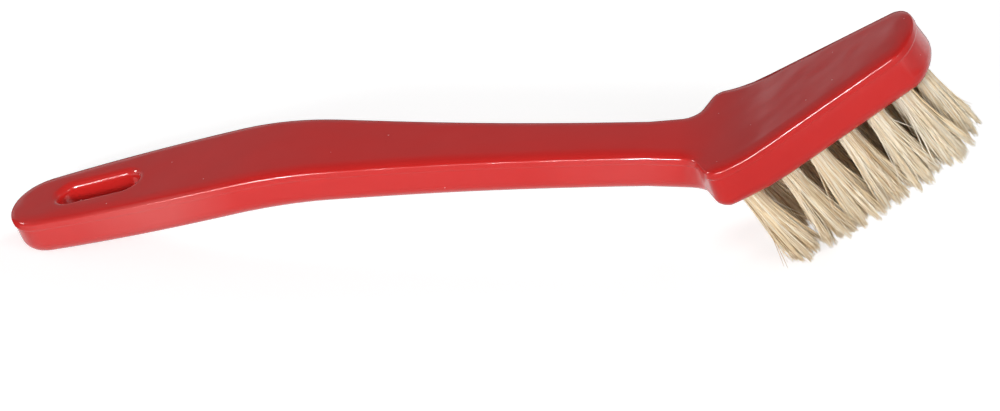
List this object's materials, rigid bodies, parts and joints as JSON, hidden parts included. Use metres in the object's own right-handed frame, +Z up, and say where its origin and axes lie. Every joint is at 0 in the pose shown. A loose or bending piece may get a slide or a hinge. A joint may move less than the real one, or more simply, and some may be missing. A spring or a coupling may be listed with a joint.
{
  "type": "shoe polish dauber",
  "caption": "Long-handled polish brush: a bent, moulded one-piece handle with a hanging slot, and an angled flared head set with rows of splayed fibre tufts.",
  "frame": {"origin": "on the table that the brush rests on, under the middle of its bounding box", "axes": "+X from the tail towards the toe of the head, +Y across the handle to the far tuft row, +Z up"},
  "size_m": [0.2396, 0.0388, 0.0589],
  "materials": {
    "red_plastic": "glossy moulded red plastic, coloured right through",
    "straw_fibre": "dry, matt, straw-coloured plant fibre",
    "anchor_wire": "plain flat steel wire"
  },
  "bodies": {
    "root": {"handle": "red_plastic", "tuft_near_1": "straw_fibre", "tuft_near_2": "straw_fibre", "tuft_near_3": "straw_fibre", "tuft_near_4": "straw_fibre", "tuft_near_5": "straw_fibre", "tuft_near_6": "straw_fibre", "tuft_middle_1": "straw_fibre", "tuft_middle_2": "straw_fibre", "tuft_middle_3": "straw_fibre", "tuft_middle_4": "straw_fibre", "tuft_middle_5": "straw_fibre", "tuft_middle_6": "straw_fibre", "tuft_middle_7": "straw_fibre", "tuft_far_1": "straw_fibre", "tuft_far_2": "straw_fibre", "tuft_far_3": "straw_fibre", "tuft_far_4": "straw_fibre", "tuft_far_5": "straw_fibre", "tuft_far_6": "straw_fibre", "anchor_near_1": "anchor_wire", "anchor_near_2": "anchor_wire", "anchor_near_3": "anchor_wire", "anchor_near_4": "anchor_wire", "anchor_near_5": "anchor_wire", "anchor_near_6": "anchor_wire", "anchor_middle_1": "anchor_wire", "anchor_middle_2": "anchor_wire", "anchor_middle_3": "anchor_wire", "anchor_middle_4": "anchor_wire", "anchor_middle_5": "anchor_wire", "anchor_middle_6": "anchor_wire", "anchor_middle_7": "anchor_wire", "anchor_far_1": "anchor_wire", "anchor_far_2": "anchor_wire", "anchor_far_3": "anchor_wire", "anchor_far_4": "anchor_wire", "anchor_far_5": "anchor_wire", "anchor_far_6": "anchor_wire"}
  },
  "joints": []
}
